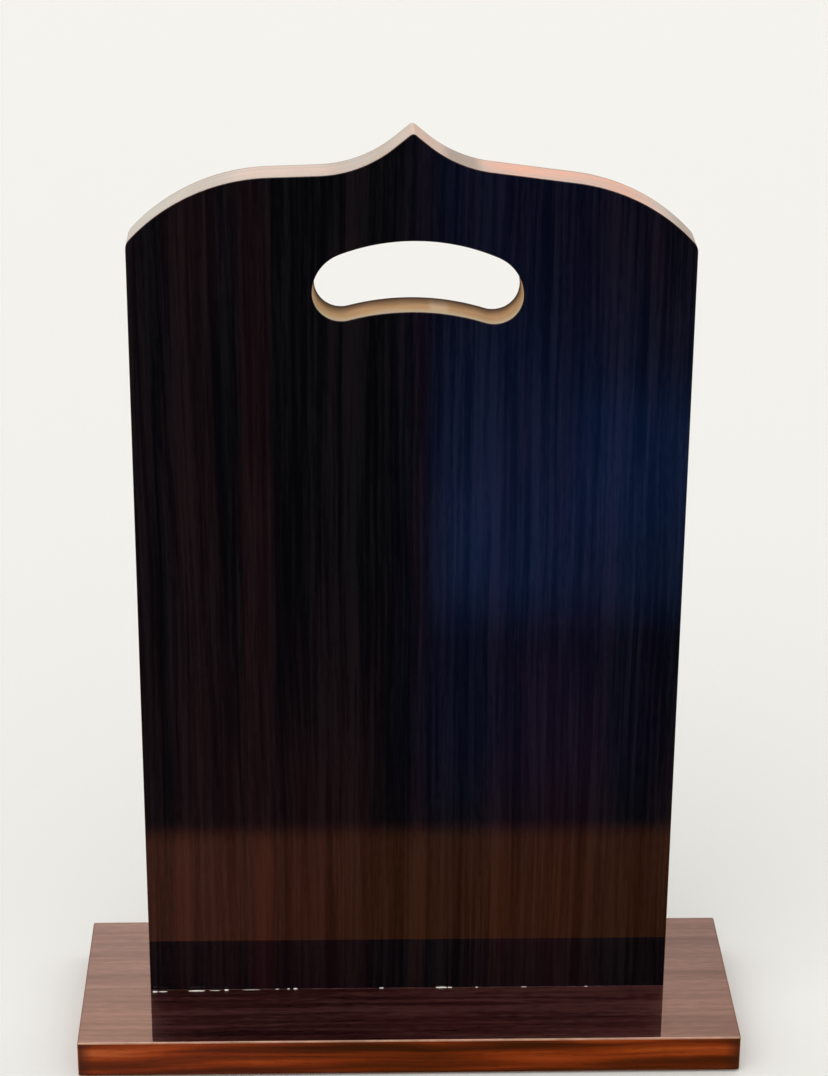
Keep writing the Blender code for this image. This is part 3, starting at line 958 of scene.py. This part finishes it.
# Colours from the darkest to the palest, and where in the streaks each one lies.
PANEL_TONES = [
    (0.41, (0.0010, 0.0010, 0.0023)),
    (0.50, (0.0024, 0.0024, 0.0039)),
    (0.59, (0.0047, 0.0044, 0.0061)),
]
BASE_TONES = [
    (0.38, (0.0090, 0.0016, 0.0018)),
    (0.50, (0.0190, 0.0056, 0.0054)),
    (0.62, (0.0430, 0.0180, 0.0170)),
]
ROSEWOOD_TONES = [
    (0.40, (0.016, 0.0016, 0.0006)),
    (0.47, (0.062, 0.0075, 0.0014)),
    (0.53, (0.145, 0.0180, 0.0024)),
    (0.59, (0.250, 0.0390, 0.0056)),
    (0.66, (0.345, 0.0760, 0.0190)),
]
PANEL_WINE = (0.0058, 0.0009, 0.0009)
BASE_WINE = (0.0120, 0.0010, 0.0008)
# The painted highlight along the base's front top arris, and the paler brown of its other three.
FRONT_ARRIS_HIGHLIGHT = (0.42, 0.22, 0.14)
OTHER_ARRISES_PALER = (0.10, 0.036, 0.022)

# Soft patches along X, in mm: the centre, the reach to either side and the amount, which is full over the
# middle of the patch, for this share of its reach.
PATCH_CORE = 0.4
RED_ALL_THE_WAY_UP = [(-127, 9, 0.5), (-99, 14, 0.8), (-73, 11, 0.75), (4, 6, 0.4), (90, 60, 0.22)]
RED_AND_WARM_LIGHT_LOW_DOWN = [(-84, 10, 0.8), (-42, 34, 0.9), (66, 40, 0.75)]
RED_AND_WARM_LIGHT_BRIGHT = [(-113, 6, 1.3), (-74, 6, 1.3), (4, 5, 0.5), (45, 6, 0.5), (75, 5, 0.4)]
# Each set of red streaks with how it fades (the heights between which it does, and what is left above
# them), its strength and how much it adds to the shine. The two sets that fade out with height paint the
# desk's warm light into the lower panel, over red streaks of the wood.
RED_STREAKS = [
    (RED_ALL_THE_WAY_UP, None, 1.0, 0.0),
    (RED_AND_WARM_LIGHT_LOW_DOWN, (0.15, 0.26, 0.0), 1.0, 0.0),
    (RED_AND_WARM_LIGHT_BRIGHT, (0.09, 0.13, 0.25), 0.9, 0.24),
]
# Where the ogee's edge is pink, partly its own tone and partly a painted reflection, where that edge has
# patches of painted shade, and where the slot's walls have a painted highlight.
EDGE_PINK_AND_SHEEN = [(-58, 34, 0.32), (8, 13, 0.4), (67, 55, 0.95)]
EDGE_PAINTED_SHADE = [(-92, 14, 0.16), (-24, 20, 0.30), (22.5, 11, 0.75), (131, 18, 0.45)]
SLOT_PAINTED_HIGHLIGHT = [(-51, 9, 0.2), (12.5, 6, 0.55)]

# Colours of the fibreboard: deep, grey and pink.
CHAMPAGNE = ((0.46, 0.43, 0.38), (0.55, 0.54, 0.50), (0.86, 0.38, 0.26))
SAWN_OCHRE = ((0.40, 0.245, 0.12), (0.48, 0.31, 0.155), (0.50, 0.31, 0.16))
BARE_BOARD = ((0.30, 0.19, 0.10), (0.40, 0.27, 0.16), (0.42, 0.27, 0.15))

# Sheets that only the lacquer's reflections see: the lit desk in front of the plaque and a blue glow well
# in front of it. Each has two corners, a colour and the widths over which its four sides fade.
CARDS = {
    "desk_glow": (
        (-0.7, -0.222, 0.0), (0.7, 0.12, 0.0), (0.54, 0.15, 0.017), (0.05, 0.05, 0.03, 0.08)
    ),
    "desk_glow_left": (
        (-0.7, -0.222, -0.004), (0.0, 0.12, -0.004), (0.21, 0.065, 0.08), (0.05, 0.14, 0.03, 0.08)
    ),
    "blue_glow": (
        (0.030, -0.90, -0.222), (0.42, -0.90, 0.15), (0.04, 0.145, 0.50), (0.035, 0.05, 0.07, 0.27)
    ),
    "blue_haze": (
        (0.005, -0.92, -0.44), (0.30, -0.92, 0.30), (0.0, 0.03, 0.20), (0.06, 0.16, 0.14, 0.08)
    ),
    "blue_spot": (
        (0.135, -0.91, -0.15), (0.30, -0.91, 0.03), (0.0, 0.05, 0.245), (0.05, 0.05, 0.08, 0.06)
    ),
    "blue_patch": (
        (0.025, -0.93, -0.185), (0.115, -0.93, -0.07), (0.0, 0.018, 0.06), (0.03, 0.04, 0.05, 0.05)
    ),
}
REFLECTED = 1.13  # the strength of all that the lacquer reflects
# The sky that it reflects, from the horizon up.
REFLECTED_SKY = [
    (0.0, (0.30, 0.16, 0.07)),
    (0.12, (0.50, 0.40, 0.35)),
    (0.27, (1.30, 1.22, 1.18)),
    (0.45, (3.00, 2.00, 1.70)),
    (0.52, (3.60, 2.40, 1.94)),
    (0.55, (4.30, 2.62, 1.95)),
    (0.62, (4.60, 2.80, 2.10)),
    (0.90, (5.50, 4.60, 4.20)),
]
FLOOR_REACH = 12.0
FLOOR_COLOUR = (0.79, 0.80, 0.785, 1.0)
WINDOW_SIDE = Vector((-0.30, -0.45, 0.80))  # where the light comes from

CAMERA_PLACE = (-0.0363, -1.2763, 0.8247)
CAMERA_LENS = 97.93  # mm
CAMERA_PITCH = -23.668  # degrees, up from level
CAMERA_ROLL = -0.414  # degrees
CAMERA_YAW = -1.713  # degrees, to the left of straight ahead


def main():
    panel_veneer = veneer(
        "ebony_upright",
        "Z",
        PANEL_STRIPES,
        PANEL_TONES,
        PANEL_WINE,
        wine_level=-1.52,
        shine_contrast=1.5,
        reds=RED_STREAKS,
    )
    base_veneer = veneer(
        "ebony_level",
        "X",
        BASE_STRIPES,
        BASE_TONES,
        BASE_WINE,
        wine_level=-1.05,
        shine_contrast=0.8,
        relief=0.005 * MM,
        arris_tints=(FRONT_ARRIS_HIGHLIGHT, OTHER_ARRISES_PALER),
    )
    champagne = board_edge(
        "champagne_edge",
        CHAMPAGNE,
        coat=0.10,
        roughness=0.5,
        # Darker along the back of the edge and, thinly, along its front.
        bands_from_faces=[(1, 1.6 * MM, (0.24, 0.19, 0.15)), (-1, 0.3 * MM, (0.20, 0.15, 0.12))],
        # Pink patches, partly the edge's own tone and partly a painted reflection.
        pink_and_sheen_places=EDGE_PINK_AND_SHEEN,
        # Patches of painted shade where the ogee's flanks face away from the light.
        painted_patches=((0.30, 0.26, 0.22), EDGE_PAINTED_SHADE),
    )
    slot_wall = board_edge(
        "slot_wall",
        SAWN_OCHRE,
        coat=0.04,
        roughness=0.7,
        # Painted shade towards the back of the slot's walls, and a painted highlight along their front lip.
        bands_from_faces=[(1, 9.6 * MM, (0.015, 0.006, 0.003)), (-1, 5.5 * MM, (0.50, 0.42, 0.29))],
        # Patches of painted highlight on the slot's walls.
        painted_patches=((0.62, 0.48, 0.34), SLOT_PAINTED_HIGHLIGHT),
    )
    finishes = plain_finishes()
    make_panel(panel_veneer, champagne, slot_wall)
    make_base(base_veneer, rosewood("rosewood_x", "X"), rosewood("rosewood_y", "Y"))
    make_screws(finishes["steel"])
    make_pads(finishes["felt"])
    make_glue_lines(finishes["seam"])
    make_glue_specks(finishes["glue"])
    for node in ("dowel_left", "dowel_right"):
        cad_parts[node].data.materials.clear()
        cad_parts[node].data.materials.append(finishes["beech"])
    inner = board_edge("bare_core", BARE_BOARD, coat=0.0, roughness=0.7, bands_from_faces=[])
    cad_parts["base_core"].data.materials.clear()
    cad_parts["base_core"].data.materials.append(inner)
    make_stage()
    make_world()
    make_camera()
    bpy.context.scene.view_settings.view_transform = "Standard"


main()

bpy.context.view_layer.update()
